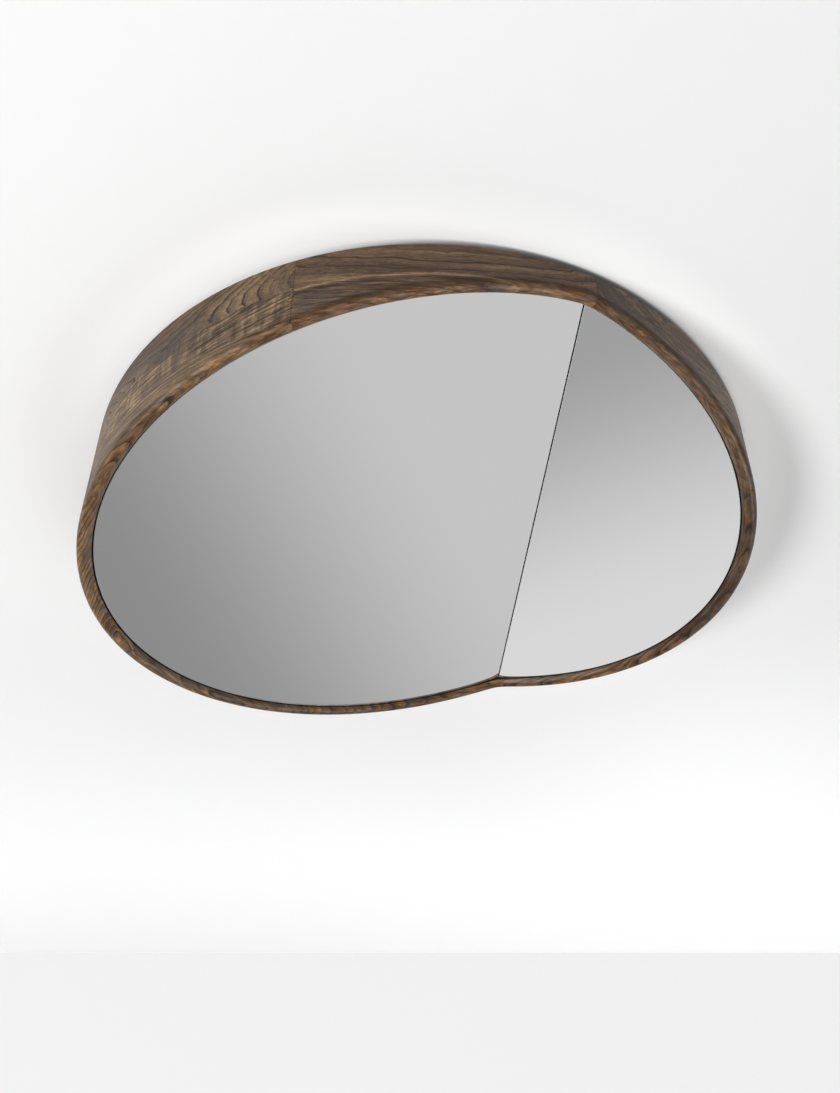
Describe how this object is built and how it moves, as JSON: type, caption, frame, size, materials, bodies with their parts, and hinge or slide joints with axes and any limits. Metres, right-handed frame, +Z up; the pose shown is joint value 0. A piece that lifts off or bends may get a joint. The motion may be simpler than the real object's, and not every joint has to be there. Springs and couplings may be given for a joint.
{
  "type": "wall mirror",
  "caption": "Round wall mirror in a deep solid timber drum frame, its face folded along an off-centre line into slanted mirror planes, hung on interlocking wall bars.",
  "frame": {"origin": "centre of the wall bar's back face, midway between its two wall screw holes, on the wall", "axes": "+Z up, +Y into the wall, +X to the right seen from the front; the mirror faces -Y"},
  "size_m": [0.9, 0.1742, 0.9],
  "materials": {
    "walnut": "oiled, satin",
    "beech": "planed, raw",
    "softwood": "planed, raw",
    "plywood": "sanded, clear lacquer",
    "painted_board": "matt black paint",
    "foam_tape": "closed-cell foam",
    "mirror_glass": "silvered, polished edges",
    "aluminium_bar": "mill finish",
    "yellow_steel": "zinc plated, yellow",
    "bright_steel": "zinc plated",
    "bumper_rubber": "matt"
  },
  "bodies": {
    "root": {"frame_block_1": "walnut", "frame_block_2": "walnut", "frame_block_3": "walnut", "frame_block_4": "walnut", "frame_block_5": "walnut", "frame_block_6": "walnut", "frame_block_7": "walnut", "frame_block_8": "walnut", "loose_tenons": "beech", "fold_batten": "softwood", "left_rib_top": "softwood", "left_rib_middle": "softwood", "left_rib_bottom": "softwood", "right_rib_top": "softwood", "right_rib_middle": "softwood", "right_rib_bottom": "softwood", "hanger_block": "softwood", "back_panel": "plywood", "left_board": "painted_board", "right_board": "painted_board", "left_tape": "foam_tape", "right_tape": "foam_tape", "left_mirror": "mirror_glass", "right_mirror": "mirror_glass", "hanger_bar": "aluminium_bar", "wall_bar": "aluminium_bar", "board_screws": "yellow_steel", "panel_screws": "yellow_steel", "hanger_screws": "bright_steel", "wall_bumpers": "bumper_rubber"}
  },
  "joints": []
}
